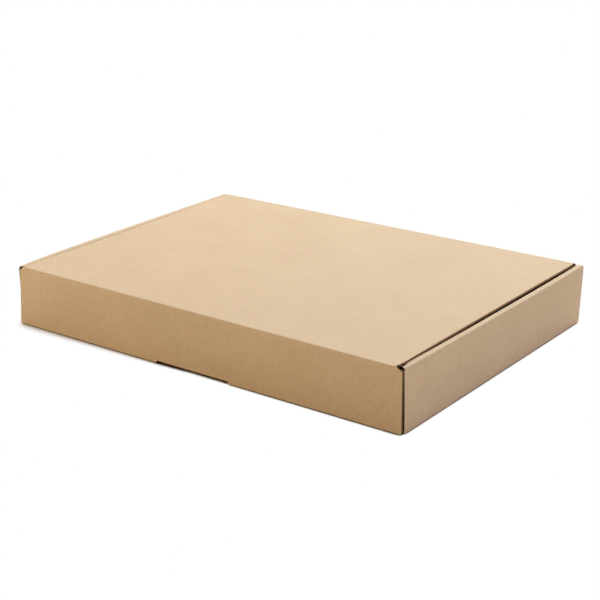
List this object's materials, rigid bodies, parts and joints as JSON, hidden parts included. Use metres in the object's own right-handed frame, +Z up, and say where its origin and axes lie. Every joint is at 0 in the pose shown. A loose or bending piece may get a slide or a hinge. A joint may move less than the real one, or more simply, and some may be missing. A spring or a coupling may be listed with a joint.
{
  "type": "flat postal box",
  "caption": "Shallow folded mailing box in plain brown corrugated card: rolled-over double side walls, a hinged lid set between them and a front flap that hangs outside the front wall.",
  "frame": {"origin": "centre of the closed box's footprint, on the surface that it stands on", "axes": "+X along the box's length, -Y towards the front flap, +Y towards the lid's fold, +Z up"},
  "size_m": [0.32, 0.223, 0.0415],
  "materials": {
    "kraft_card": "matte unbleached kraft paper"
  },
  "bodies": {
    "tray": {"tray": "kraft_card"},
    "lid": {"lid": "kraft_card"},
    "front_flap": {"front_flap": "kraft_card"}
  },
  "joints": [
    {"name": "lid_hinge", "type": "hinge", "parent": "tray", "child": "lid", "pos_m": [0, 0.1115, 0.0415], "axis": [-1, 0, 0], "range_deg": [0, 180]},
    {"name": "front_flap_hinge", "type": "hinge", "parent": "lid", "child": "front_flap", "pos_m": [0, -0.1115, 0.0415], "axis": [-1, 0, 0], "range_deg": [0, 120]}
  ]
}
